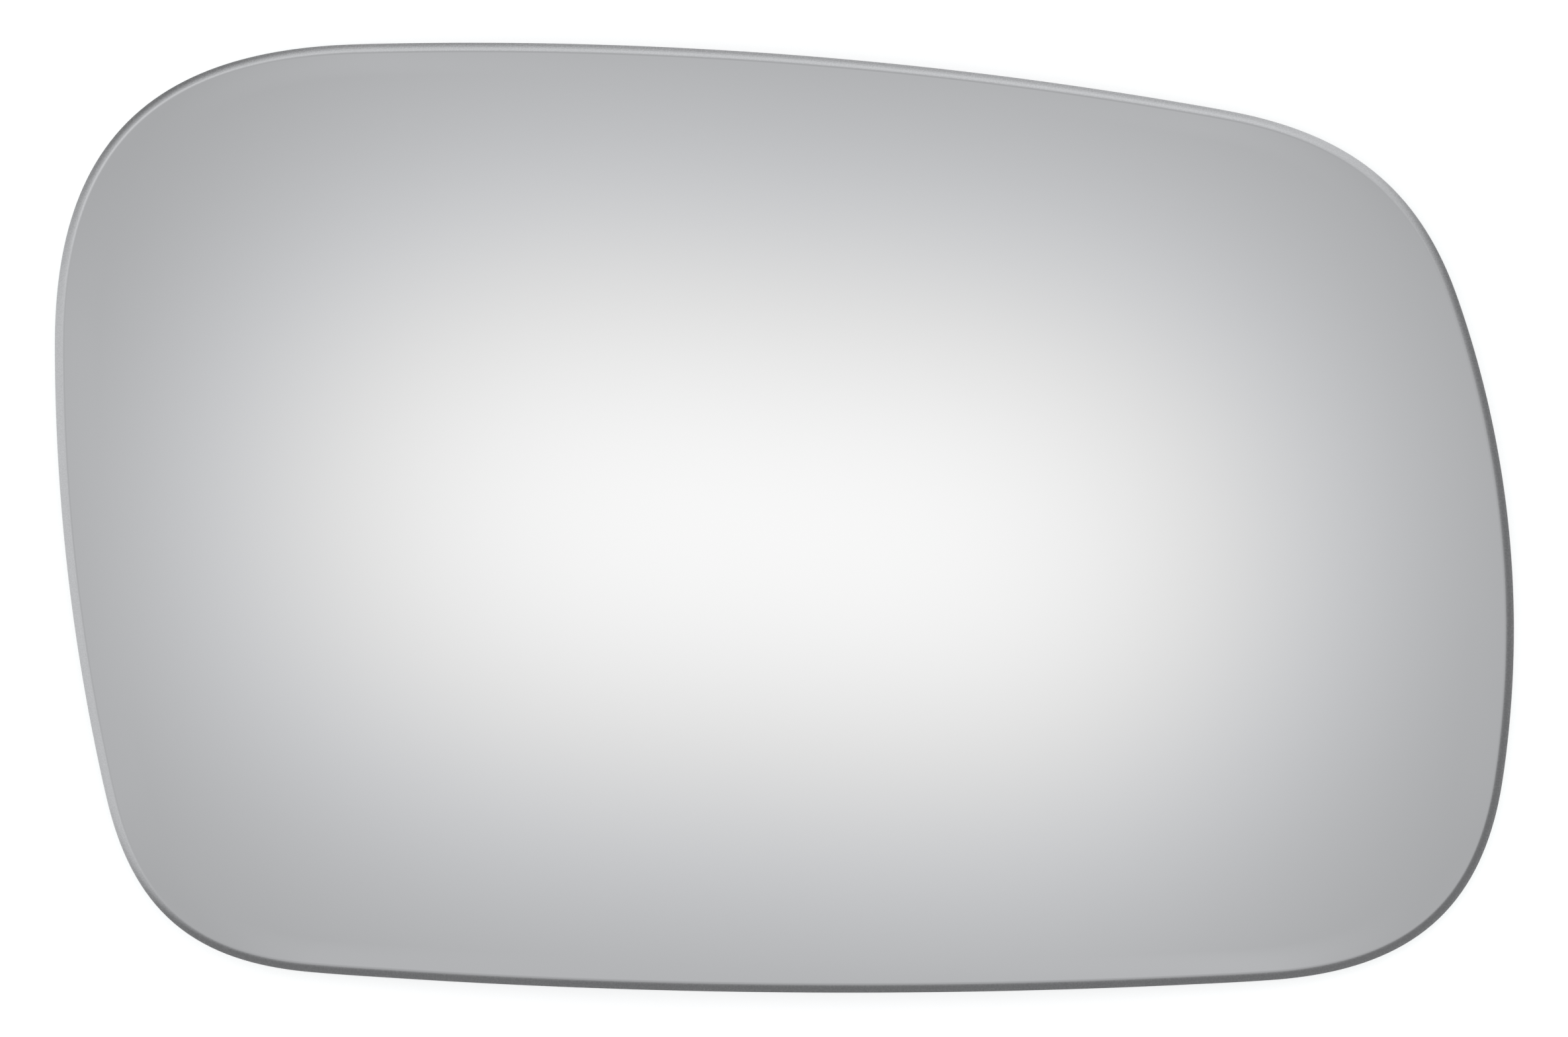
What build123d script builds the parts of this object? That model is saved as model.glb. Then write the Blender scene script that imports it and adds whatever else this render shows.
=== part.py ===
# Convex glass of a car door mirror: one bent pane with four bowed sides and a ground bevel.
# The pane lies face up: +X along its long side, +Y towards its upper edge, +Z out of the mirror.
import os
from math import hypot, sqrt

from build123d import *

# Overall size, seen square on
glass_width = 184.0
glass_height = 119.7
thickness = 2.0

# Sphere that the reflecting face is bent to
face_radius = 1400.0

# Bow of each side: the radius of its arc, and the place along the side where it stands out furthest
top_radius = 540.0
top_peak_x = -40.0
left_radius = 255.0
left_peak_y = 22.0
bottom_radius = 910.0
bottom_peak_x = 8.4
right_radius = 127.0
right_peak_y = -14.2

# Corner bends: how far from the crossing of its two sides each one starts, and how full they all are
top_left_reach = 35.8
bottom_left_reach = 21.0
bottom_right_reach = 24.3
top_right_reach = 21.2
corner_fullness = 0.72

# Ground edge: a sloping bevel round the face, and a narrow one that takes the sharp corner off the back
bevel_width = 1.0
bevel_depth = 0.3
back_bevel = 0.3

half_width = glass_width / 2
half_height = glass_height / 2
half_diagonal = hypot(half_width, half_height)
bend_depth = face_radius - sqrt(face_radius**2 - half_diagonal**2)
back_radius = face_radius - thickness

top_centre = (top_peak_x, half_height - top_radius)
left_centre = (left_radius - half_width, left_peak_y)
bottom_centre = (bottom_peak_x, bottom_radius - half_height)
right_centre = (half_width - right_radius, right_peak_y)


def side_of(arc, start, start_reach, end, end_reach):
    """The stretch of an arc between two crossings, less the reach of the corner bend at each end."""
    side = arc.trim(start, end)
    return side.trim(start_reach / side.length, 1 - end_reach / side.length)


def corner_bend(side, next_side, reach):
    """The curve that leads from one side into the next, with no kink where it meets them."""
    pull = corner_fullness * reach
    start = side @ 1
    end = next_side @ 0
    Bezier(start, start + pull * (side % 1), end - pull * (next_side % 0), end)


with BuildPart() as mirror_glass:
    # Outline, counter-clockwise: half circles that cross at the corners, each cut down to its side
    with BuildSketch() as outline:
        with BuildLine():
            top = CenterArc(top_centre, top_radius, 0, 180, mode=Mode.PRIVATE)
            left = CenterArc(left_centre, left_radius, 90, 180, mode=Mode.PRIVATE)
            bottom = CenterArc(bottom_centre, bottom_radius, 180, 180, mode=Mode.PRIVATE)
            right = CenterArc(right_centre, right_radius, 270, 180, mode=Mode.PRIVATE)
            top_left = top.find_intersection_points(left)[0]
            bottom_left = left.find_intersection_points(bottom)[0]
            bottom_right = bottom.find_intersection_points(right)[0]
            top_right = right.find_intersection_points(top)[0]
            top_side = side_of(top, top_right, top_right_reach, top_left, top_left_reach)
            left_side = side_of(left, top_left, top_left_reach, bottom_left, bottom_left_reach)
            bottom_side = side_of(bottom, bottom_left, bottom_left_reach, bottom_right, bottom_right_reach)
            right_side = side_of(right, bottom_right, bottom_right_reach, top_right, top_right_reach)
            add((top_side, left_side, bottom_side, right_side))
            corner_bend(top_side, left_side, top_left_reach)
            corner_bend(left_side, bottom_side, bottom_left_reach)
            corner_bend(bottom_side, right_side, bottom_right_reach)
            corner_bend(right_side, top_side, top_right_reach)
        make_face()

    # Bend: a blank as deep as the bend is cut between two spheres that share their centre
    extrude(amount=-bend_depth - thickness)
    with Locations((0, 0, -face_radius)):
        Sphere(face_radius, rotation=(90, 0, 0), mode=Mode.INTERSECT)
        Sphere(back_radius, rotation=(90, 0, 0), mode=Mode.SUBTRACT)

    # Ground edge: the bevels run all round the rim, which is curved in plan and in height
    face = mirror_glass.faces().filter_by(GeomType.SPHERE).sort_by(Axis.Z)[-1]
    chamfer(face.edges(), bevel_width, bevel_depth, reference=face)
    back = mirror_glass.faces().filter_by(GeomType.SPHERE).sort_by(Axis.Z)[0]
    chamfer(back.edges(), back_bevel)

# The lowest point of the rim touches the surface that the pane lies on
mirror_glass.part.position = (0, 0, -mirror_glass.part.bounding_box().min.Z)

os.makedirs("parts", exist_ok=True)
mirror_glass.part.label = "mirror_glass"
export_step(mirror_glass.part, "parts/mirror_glass.step")
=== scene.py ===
import math

import bpy
import numpy as np
from mathutils.geometry import convex_hull_2d
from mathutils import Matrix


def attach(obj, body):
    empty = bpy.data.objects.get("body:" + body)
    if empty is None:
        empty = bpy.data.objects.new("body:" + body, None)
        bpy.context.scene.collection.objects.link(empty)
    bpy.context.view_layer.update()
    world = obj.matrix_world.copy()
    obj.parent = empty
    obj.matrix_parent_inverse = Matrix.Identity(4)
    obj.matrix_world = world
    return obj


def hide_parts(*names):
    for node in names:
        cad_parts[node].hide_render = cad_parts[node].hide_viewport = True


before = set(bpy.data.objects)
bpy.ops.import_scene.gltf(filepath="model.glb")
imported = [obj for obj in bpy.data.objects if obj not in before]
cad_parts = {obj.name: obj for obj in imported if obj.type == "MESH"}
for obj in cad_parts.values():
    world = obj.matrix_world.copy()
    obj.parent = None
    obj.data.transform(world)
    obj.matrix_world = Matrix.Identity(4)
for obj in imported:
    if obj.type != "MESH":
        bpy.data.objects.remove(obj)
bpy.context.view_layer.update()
scene = bpy.context.scene

# The solid's bend, thickness and bevels, in metres
FACE_RADIUS = 1.4
THICKNESS = 0.002
BEVEL_WIDTH = 0.001
BEVEL_DEPTH = 0.0003
BACK_BEVEL = 0.0003
BACK_RADIUS = FACE_RADIUS - THICKNESS

# Slight crown of the bevel, and how far the ridges of the bevel and of the edge below it are eased
BEVEL_CROWN = 0.00004
FACE_EASE = 0.00025
CROWN_EASE = 0.00025
EDGE_EASE = 0.00004
BEVEL_EASES = (FACE_EASE, CROWN_EASE, EDGE_EASE)
EDGE_EASES = (EDGE_EASE, EDGE_EASE)

# Fineness of the pane's mesh, and how near two corners of the solid's outline count as one
RIM_STEPS = 480
EASE_STEPS = 6
FACE_RINGS = 20
BACK_RINGS = 10
SAME_POINT = 0.00005

# Finishes of the pane, in the order of its materials
FACE, BEVEL, EDGE, BACK = range(4)

# Looks of the finishes, where a pair of tones or roughnesses goes from the first to the second
# over the span of a noise

# Silver behind the glass: its tone, and the roughness that faint traces of wiping give it
SILVER_TONE = 0.9
SILVER_ROUGHNESS = (0.012, 0.03)
WIPE_NOISE = {"Scale": 45.0, "Detail": 5.0, "Distortion": 0.8}
WIPE_SPAN = (0.35, 0.75)

# Grinding: lines along the rim, which waver a little, and a grain between them
LINES_PER_METRE = 16000.0
LINE_NOISE = {"Scale": 1.0, "Detail": 3.0}
LINE_WEIGHT = 0.6
WAVER_NOISE = {"Scale": 350.0, "Detail": 2.0}
GRAIN_NOISE = {"Scale": 5000.0, "Detail": 3.0}
GRINDING_SPAN = (0.5, 1.1)
GRINDING_DEPTH = 0.00002

# Ground bevel, and where down the edge the polished face goes over into it
POLISHED_TO_GROUND = (0.12 * FACE_EASE, 1.69 * FACE_EASE)
POLISHED_ROUGHNESS = 0.02
GROUND_TONE = (0.6, 0.7)
GROUND_ROUGHNESS = (0.12, 0.2)
GROUND_BUMP = 0.25

# Satin edge of clear glass below the bevel
EDGE_DEEP = (0.26, 0.35, 0.315, 1.0)
EDGE_PALE = (0.4, 0.49, 0.45, 1.0)
EDGE_ROUGHNESS = (0.3, 0.45)
EDGE_BUMP = 0.3

# Paint on the back: slight clouds in its tone, and the orange peel of a sprayed coat
PAINT_TONE = (0.05, 0.056)
PAINT_ROUGHNESS = (0.42, 0.55)
PAINT_SPAN = (0.3, 0.7)
CLOUD_NOISE = {"Scale": 60.0, "Detail": 4.0}
PEEL_NOISE = {"Scale": 900.0, "Detail": 2.0}
PEEL_BUMP = 0.35
PEEL_DEPTH = 0.00005

# Camera, straight above the pane: how wide its picture is at the height of the rim, and how far the pane
# lies off the middle of the picture
LENS = 300.0
SENSOR = 36.0
PICTURE_WIDTH = 0.1977
RIM_HEIGHT = 0.002
PANE_OFF_CENTRE = (0.000048, 0.000108)
CAMERA_RISE = PICTURE_WIDTH * LENS / SENSOR

# Soft overhead light: an oval patch, placed and sized by the image that it makes on the face, along its
# long way and its short way, on a ceiling that is nowhere darker than its least light
PATCH_TURN = math.radians(-5.0)
PATCH_CENTRE = (-0.00143, -0.00134)
PATCH_REACH = (0.0737, 0.045)
PATCH_FALLOFF = (3.0, 2.0)
PATCH_LIGHT = 0.652
CEILING_LIGHT = 0.381
CEILING_LEAST = 0.4365

# Directions below this height count as this high for the patch, so that nothing is divided by 0
LEAST_HEIGHT = 0.05

# The patch is white and the rest of the room slightly blue, and where one goes over into the other,
# by how much of the patch a direction meets
PATCH_COLOUR = (1.0, 1.0, 1.0, 1.0)
ROOM_COLOUR = (0.988, 1.0, 1.025, 1.0)
ROOM_TO_PATCH = (0.3, 0.75)

# Light round about, from the ground up: a white horizon, a greyer wall, a ring of light, and then
# a dim side and a bright one, which is darker at its foot and brightest at its top
HORIZON_LIGHT = 1.0
WALL_LIGHT = 0.55
RING_LIGHT = 0.85
DIM_LIGHT = 0.2285
BRIGHT_LIGHT = 0.79
FOOT_LIGHT = 0.17
UPPER_LIGHT = 1.26
BRIGHT_SIDE = math.radians(122.7)
UPPER_SIDE = math.radians(115.0)

# Where each goes over into the next, by height from 0 at the horizon to 1 overhead
HORIZON_TO_WALL = (0.05, 0.3)
WALL_TO_RING = (0.3, 0.4)
RING_TO_SIDES = (0.46, 0.56)
SIDES_TO_CEILING = (0.876, 0.985)

# Where the dim side goes over into the bright one, and the bright one into its foot and its top, by how far
# a direction points to that side, and how much height shifts that
DIM_TO_BRIGHT = (0.24, 0.767)
BRIGHT_SHIFT = 0.668
BRIGHT_TO_FOOT = (0.684, 1.15)
FOOT_SHIFT = 0.461
BRIGHT_TO_UPPER = (1.785, 2.135)
UPPER_SHIFT = 1.782

# Floor, which glows white for the camera and in reflections, but lights nothing with that glow
FLOOR_REACH = 20.0
FLOOR_COLOUR = (0.8, 0.8, 0.8, 1.0)
FLOOR_GLOW = 0.665


# Small helpers for node trees
def feed(tree, node, inputs):
    """Gives a node its inputs. Each is a plain value or the socket that feeds it."""
    for key, value in inputs.items():
        if isinstance(value, bpy.types.NodeSocket):
            tree.links.new(value, node.inputs[key])
        else:
            node.inputs[key].default_value = value


def add_node(tree, kind, inputs=None, **settings):
    """A new shader node with its settings and inputs."""
    node = tree.nodes.new("ShaderNode" + kind)
    for name, value in settings.items():
        setattr(node, name, value)
    feed(tree, node, inputs or {})
    return node


def calc(tree, operation, *values):
    """The result of one step of arithmetic."""
    return add_node(tree, "Math", dict(enumerate(values)), operation=operation).outputs[0]


def fade(tree, value, start, end, low, high):
    """Goes smoothly from low to high as value goes from start to end."""
    inputs = {"Value": value, "From Min": start, "From Max": end, "To Min": low, "To Max": high}
    return add_node(tree, "MapRange", inputs, interpolation_type="SMOOTHSTEP").outputs[0]


def mix(tree, share, low, high):
    """Goes evenly from one value to another as share goes from 0 to 1."""
    return add_node(tree, "Mix", {"Factor": share, "A": low, "B": high}).outputs[0]


def mix_colours(tree, share, low, high):
    """Goes evenly from one colour to another as share goes from 0 to 1."""
    # The node's plain sockets have the same names, so its colour sockets go by number
    return add_node(tree, "Mix", {0: share, 6: low, 7: high}, data_type="RGBA").outputs[2]


def grey(tree, tone):
    """A colour without hue, as bright as the tone."""
    return add_node(tree, "CombineColor", {0: tone, 1: tone, 2: tone}).outputs[0]


def noise(tree, settings):
    """Soft noise through the object's space."""
    place = add_node(tree, "TexCoord").outputs["Object"]
    return add_node(tree, "TexNoise", {"Vector": place, **settings}).outputs["Fac"]


def add_bump(tree, shader, height, strength, depth):
    """Lets a height show as relief."""
    bump = add_node(tree, "Bump", {"Height": height, "Strength": strength, "Distance": depth})
    tree.links.new(bump.outputs["Normal"], shader.inputs["Normal"])


def cleared_tree(owner):
    """The node tree of a material or a world, with nothing in it."""
    owner.use_nodes = True
    owner.node_tree.nodes.clear()
    return owner.node_tree


# Materials
def new_material(name):
    """A material with one Principled shader, its tree and that shader."""
    material = bpy.data.materials.new(name)
    material.use_nodes = True
    return material, material.node_tree, material.node_tree.nodes["Principled BSDF"]


def silvered_face():
    """Silver seen through clear glass, with the faint unevenness that wiping leaves."""
    material, tree, shader = new_material("silvered_face")
    looks = {
        "Base Color": (SILVER_TONE, SILVER_TONE, SILVER_TONE, 1.0),
        "Metallic": 1.0,
        "Roughness": fade(tree, noise(tree, WIPE_NOISE), *WIPE_SPAN, *SILVER_ROUGHNESS),
        "Coat Weight": 1.0,
        "Coat Roughness": 0.0,
    }
    feed(tree, shader, looks)
    return material


def down_the_edge(tree):
    """How far each point is from the polished face, down the edge."""
    return add_node(tree, "Attribute", attribute_name="across").outputs["Fac"]


def grinding(tree):
    """The fine lines and the grain that a grinding wheel leaves along the rim."""
    line_at = calc(tree, "MULTIPLY_ADD", down_the_edge(tree), LINES_PER_METRE, noise(tree, WAVER_NOISE))
    lines = add_node(tree, "TexNoise", {"W": line_at, **LINE_NOISE}, noise_dimensions="1D").outputs["Fac"]
    return calc(tree, "MULTIPLY_ADD", lines, LINE_WEIGHT, noise(tree, GRAIN_NOISE))


def ground_bevel():
    """Finely ground glass over the silver, which blends into the polished face."""
    material, tree, shader = new_material("ground_bevel")
    marks = grinding(tree)
    is_ground = fade(tree, down_the_edge(tree), *POLISHED_TO_GROUND, 0.0, 1.0)
    ground_tone = fade(tree, marks, *GRINDING_SPAN, *GROUND_TONE)
    ground_roughness = fade(tree, marks, *GRINDING_SPAN, *GROUND_ROUGHNESS)
    looks = {
        "Base Color": grey(tree, mix(tree, is_ground, SILVER_TONE, ground_tone)),
        "Metallic": 1.0,
        "Roughness": mix(tree, is_ground, POLISHED_ROUGHNESS, ground_roughness),
    }
    feed(tree, shader, looks)
    add_bump(tree, shader, marks, calc(tree, "MULTIPLY", is_ground, GROUND_BUMP), GRINDING_DEPTH)
    return material


def glass_edge():
    """Satin edge of clear glass, with the green that such glass shows from the side."""
    material, tree, shader = new_material("glass_edge")
    marks = grinding(tree)
    pale = fade(tree, marks, *GRINDING_SPAN, 0.0, 1.0)
    looks = {
        "Base Color": mix_colours(tree, pale, EDGE_DEEP, EDGE_PALE),
        "Roughness": fade(tree, marks, *GRINDING_SPAN, *EDGE_ROUGHNESS),
    }
    feed(tree, shader, looks)
    add_bump(tree, shader, marks, EDGE_BUMP, GRINDING_DEPTH)
    return material


def back_paint():
    """Dark protective paint with the orange peel of a sprayed coat."""
    material, tree, shader = new_material("back_paint")
    peel = noise(tree, PEEL_NOISE)
    looks = {
        "Base Color": grey(tree, fade(tree, noise(tree, CLOUD_NOISE), *PAINT_SPAN, *PAINT_TONE)),
        "Roughness": fade(tree, peel, *PAINT_SPAN, *PAINT_ROUGHNESS),
    }
    feed(tree, shader, looks)
    add_bump(tree, shader, peel, PEEL_BUMP, PEEL_DEPTH)
    return material


# The pane
def unit(vectors):
    """The vectors, each made one long."""
    return vectors / np.linalg.norm(vectors, axis=1)[:, None]


def outline_of(node):
    """Evenly spaced points round the solid's plan outline, counter-clockwise, and the way out at each."""
    plan = [vertex.co.xy for vertex in node.data.vertices]
    corners = np.array([plan[i] for i in convex_hull_2d(plan)])
    corners = corners[np.linalg.norm(np.roll(corners, -1, 0) - corners, axis=1) > SAME_POINT]

    # The outline's heading at each corner, from the two sides that meet there
    sides = np.roll(corners, -1, 0) - corners
    lengths = np.linalg.norm(sides, axis=1)[:, None]
    before = np.roll(lengths, 1, 0)
    headings = sides / lengths
    tangents = (headings * before + np.roll(headings, 1, 0) * lengths) / (before + lengths)

    # Points on the smooth curve that goes through the corners with those headings
    starts = np.r_[0, np.cumsum(lengths)]
    along = np.linspace(0, starts[-1], RIM_STEPS, endpoint=False)
    first = np.searchsorted(starts, along, side="right") - 1
    second = (first + 1) % len(corners)
    t = (along - starts[first])[:, None] / lengths[first]
    points = (
        (1 + 2 * t) * (1 - t) ** 2 * corners[first]
        + t * (1 - t) ** 2 * lengths[first] * tangents[first]
        + (3 - 2 * t) * t**2 * corners[second]
        - (1 - t) * t**2 * lengths[first] * tangents[second]
    )
    ahead = unit(np.roll(points, -1, 0) - np.roll(points, 1, 0))
    return points, np.stack([ahead[:, 1], -ahead[:, 0]], 1)


def on_sphere(plan, radius, centre_height):
    """The points of a sphere above the plan points."""
    rise = np.sqrt(radius**2 - (plan**2).sum(1))
    return np.c_[plan, centre_height + rise]


def edge_rings(node, centre):
    """Rings of points and normals down the ground edge, from the face to the back, with eased ridges."""
    plan, outward = outline_of(node)
    upward = np.array([0.0, 0.0, 1.0])
    wide = np.c_[outward, np.zeros(RIM_STEPS)]

    # Points of the face and of the back, some way inside the outline
    def face_at(inset):
        return on_sphere(plan - inset * outward, FACE_RADIUS, centre)

    def back_at(inset):
        return on_sphere(plan - inset * outward, BACK_RADIUS, centre)

    # The profile of the edge, with its five ridges between an end on the face and one on the back
    inner = face_at(BEVEL_WIDTH)
    outer = face_at(0) - BEVEL_DEPTH * upward
    crown = (inner + outer) / 2 + BEVEL_CROWN * unit(BEVEL_DEPTH * wide + BEVEL_WIDTH * upward)
    profile = [
        face_at(BEVEL_WIDTH + FACE_EASE),
        inner,
        crown,
        outer,
        back_at(0) + BACK_BEVEL * upward,
        back_at(BACK_BEVEL),
        back_at(BACK_BEVEL + EDGE_EASE),
    ]

    # Each ridge is a short curve from the way in to the way out, and its normals stand square to it
    rings = []
    for last, ridge, after, ease in zip(profile, profile[1:], profile[2:], BEVEL_EASES + EDGE_EASES):
        coming = unit(ridge - last)
        going = unit(after - ridge)
        for u in np.linspace(0, 1, EASE_STEPS):
            heading = (1 - u) * coming + u * going
            points = ridge + ease * (u**2 * going - (1 - u) ** 2 * coming)
            lean = (heading * wide).sum(1)[:, None]
            rings.append((points, unit(lean * upward - heading[:, 2:] * wide)))
    return rings


def domed_rings(rim, radius, centre, count, side):
    """Rings of points and normals from next to the rim to near the middle of a bent face."""
    hub = np.array([0.0, 0.0, centre])
    rings = []
    for share in np.linspace(1, 0, count + 1, endpoint=False)[1:]:
        points = on_sphere(rim[:, :2] * share, radius, centre)
        rings.append((points, side * unit(points - hub)))
    return rings


def strip_finishes(strips):
    """The finish of each strip between two rings, from the middle of the face to the middle of the back."""
    bevel_strips = len(BEVEL_EASES) * EASE_STEPS - 1
    edge_strips = len(EDGE_EASES) * EASE_STEPS
    finishes = [FACE] * FACE_RINGS + [BEVEL] * bevel_strips + [EDGE] * edge_strips
    return finishes + [BACK] * (strips - len(finishes))


def pane_rings(node):
    """Rings of points and normals from the middle of the face to that of the back, and the two middles."""
    peak = max(node.data.vertices, key=lambda vertex: vertex.co.z).co
    centre = peak.z - math.sqrt(FACE_RADIUS**2 - peak.xy.length_squared)
    edge = edge_rings(node, centre)
    face = domed_rings(edge[0][0], FACE_RADIUS, centre, FACE_RINGS, 1)[::-1]
    back = domed_rings(edge[-1][0], BACK_RADIUS, centre, BACK_RINGS, -1)
    tips = np.array([[0, 0, centre + FACE_RADIUS], [0, 0, centre + BACK_RADIUS]])
    tip_normals = np.array([[0, 0, 1], [0, 0, -1]])
    return face + edge + back, (tips, tip_normals)


def pane_faces(strips):
    """Each face's corners and finish: strips between the rings, and fans that close the two middles."""
    faces = []
    finishes = []
    for k, finish in enumerate(strips):
        low = k * RIM_STEPS
        high = low + RIM_STEPS
        for i in range(RIM_STEPS):
            j = (i + 1) % RIM_STEPS
            faces.append((low + i, high + i, high + j, low + j))
            finishes.append(finish)
    last = len(strips) * RIM_STEPS
    face_tip = last + RIM_STEPS
    back_tip = face_tip + 1
    for i in range(RIM_STEPS):
        j = (i + 1) % RIM_STEPS
        faces.append((face_tip, i, j))
        finishes.append(FACE)
        faces.append((back_tip, last + j, last + i))
        finishes.append(BACK)
    return faces, finishes


def distances_down(rings, strips, count):
    """How far each point is from the polished face, down the edge, and 0 on the face and on the back."""
    across = np.zeros(count)
    for k, finish in enumerate(strips):
        low = k * RIM_STEPS
        high = low + RIM_STEPS
        if finish in (BEVEL, EDGE):
            step = np.linalg.norm(rings[k + 1][0] - rings[k][0], axis=1)
            across[high : high + RIM_STEPS] = across[low:high] + step
    return across


def build_pane(node):
    """The pane as one closed mesh with exact normals: face, ground edge and back."""
    rings, tips = pane_rings(node)
    points, normals = map(np.concatenate, zip(*rings, tips))
    strips = strip_finishes(len(rings) - 1)
    faces, finishes = pane_faces(strips)
    across = distances_down(rings, strips, len(points))
    mesh = bpy.data.meshes.new("silvered_pane")
    mesh.from_pydata(points.tolist(), [], faces)
    mesh.attributes.new("across", "FLOAT", "POINT").data.foreach_set("value", across)
    mesh.polygons.foreach_set("material_index", finishes)
    mesh.polygons.foreach_set("use_smooth", [True] * len(faces))
    mesh.normals_split_custom_set_from_vertices(normals.tolist())
    for material in (silvered_face(), ground_bevel(), glass_edge(), back_paint()):
        mesh.materials.append(material)
    pane = bpy.data.objects.new("silvered_pane", mesh)
    scene.collection.objects.link(pane)
    return pane


# Studio
def build_floor():
    """A white floor that takes the pane's shadow."""
    mesh = bpy.data.meshes.new("floor")
    reach = FLOOR_REACH
    corners = [(-reach, -reach, 0), (reach, -reach, 0), (reach, reach, 0), (-reach, reach, 0)]
    mesh.from_pydata(corners, [], [(0, 1, 2, 3)])
    material = bpy.data.materials.new("floor")
    tree = cleared_tree(material)
    ray = add_node(tree, "LightPath").outputs
    seen = calc(tree, "ADD", ray["Is Camera Ray"], ray["Is Glossy Ray"])
    seen = calc(tree, "ADD", seen, ray["Is Transmission Ray"])
    glow = add_node(tree, "Emission", {"Strength": calc(tree, "MULTIPLY", seen, FLOOR_GLOW)})
    plain = add_node(tree, "BsdfDiffuse", {"Color": FLOOR_COLOUR})
    both = add_node(tree, "AddShader", {0: glow.outputs[0], 1: plain.outputs[0]})
    add_node(tree, "OutputMaterial", {"Surface": both.outputs[0]})
    mesh.materials.append(material)
    floor = bpy.data.objects.new("floor", mesh)
    scene.collection.objects.link(floor)


def overhead_patch(tree, direction):
    """How much of the overhead patch a direction meets, from 1 in its middle to 0 well outside it."""
    turn = {"Vector": direction, "Angle": -PATCH_TURN}
    turned = add_node(tree, "VectorRotate", turn, rotation_type="Z_AXIS").outputs[0]
    x, y, height = add_node(tree, "SeparateXYZ", {"Vector": turned}).outputs
    upness = calc(tree, "MAXIMUM", height, LEAST_HEIGHT)

    # A point of the face mirrors the sky at a slope that grows evenly with its distance from the middle
    slope = 1 / CAMERA_RISE + 2 / FACE_RADIUS
    drops = []
    for axis, middle, reach, power in zip((x, y), PATCH_CENTRE, PATCH_REACH, PATCH_FALLOFF):
        lean = calc(tree, "DIVIDE", axis, upness)
        away = calc(tree, "MULTIPLY_ADD", lean, 1 / (slope * reach), -middle / reach)
        drops.append(calc(tree, "POWER", calc(tree, "ABSOLUTE", away), power))
    return calc(tree, "EXPONENT", calc(tree, "MULTIPLY", calc(tree, "ADD", *drops), -1.0))


def leaning(tree, direction, height, side, shift):
    """How far a direction points to one side, shifted by its height."""
    inputs = {0: direction, 1: (math.cos(side), math.sin(side), 0)}
    share = add_node(tree, "VectorMath", inputs, operation="DOT_PRODUCT").outputs["Value"]
    return calc(tree, "MULTIPLY_ADD", height, shift, share)


def light_of_sides(tree, direction, height):
    """A dim side and a bright one, which is darker at its foot and brightest at its top."""
    to_bright = leaning(tree, direction, height, BRIGHT_SIDE, BRIGHT_SHIFT)
    to_foot = leaning(tree, direction, height, BRIGHT_SIDE, FOOT_SHIFT)
    to_upper = leaning(tree, direction, height, UPPER_SIDE, UPPER_SHIFT)
    upper = fade(tree, to_upper, *BRIGHT_TO_UPPER, BRIGHT_LIGHT, UPPER_LIGHT)
    bright = fade(tree, to_foot, *BRIGHT_TO_FOOT, upper, FOOT_LIGHT)
    return fade(tree, to_bright, *DIM_TO_BRIGHT, DIM_LIGHT, bright)


def build_world():
    """Soft studio light from all round, each kind going over into the next from the ground up."""
    world = bpy.data.worlds.new("studio")
    scene.world = world
    tree = cleared_tree(world)
    direction = add_node(tree, "TexCoord").outputs["Generated"]
    height = add_node(tree, "SeparateXYZ", {"Vector": direction}).outputs["Z"]
    patch = overhead_patch(tree, direction)
    overhead = calc(tree, "MULTIPLY_ADD", patch, PATCH_LIGHT, CEILING_LIGHT)
    ceiling = calc(tree, "MAXIMUM", overhead, CEILING_LEAST)
    sides = light_of_sides(tree, direction, height)
    wall = fade(tree, height, *HORIZON_TO_WALL, HORIZON_LIGHT, WALL_LIGHT)
    ring = fade(tree, height, *WALL_TO_RING, wall, RING_LIGHT)
    room = fade(tree, height, *RING_TO_SIDES, ring, sides)
    light = fade(tree, height, *SIDES_TO_CEILING, room, ceiling)
    in_patch = fade(tree, patch, *ROOM_TO_PATCH, 0.0, 1.0)
    colour = mix_colours(tree, in_patch, ROOM_COLOUR, PATCH_COLOUR)
    background = add_node(tree, "Background", {"Color": colour, "Strength": light})
    add_node(tree, "OutputWorld", {"Surface": background.outputs[0]})


def build_camera():
    """The camera, straight above the pane and a little off its middle, as high as gives the picture its
    width at the rim.
    """
    data = bpy.data.cameras.new("camera")
    data.lens = LENS
    data.sensor_width = SENSOR
    camera = bpy.data.objects.new("camera", data)
    camera.location = (-PANE_OFF_CENTRE[0], -PANE_OFF_CENTRE[1], RIM_HEIGHT + CAMERA_RISE)
    scene.collection.objects.link(camera)
    scene.camera = camera


pane = build_pane(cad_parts["mirror_glass"])
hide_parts("mirror_glass")
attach(pane, "root")
build_floor()
build_world()
build_camera()
scene.view_settings.view_transform = "Standard"
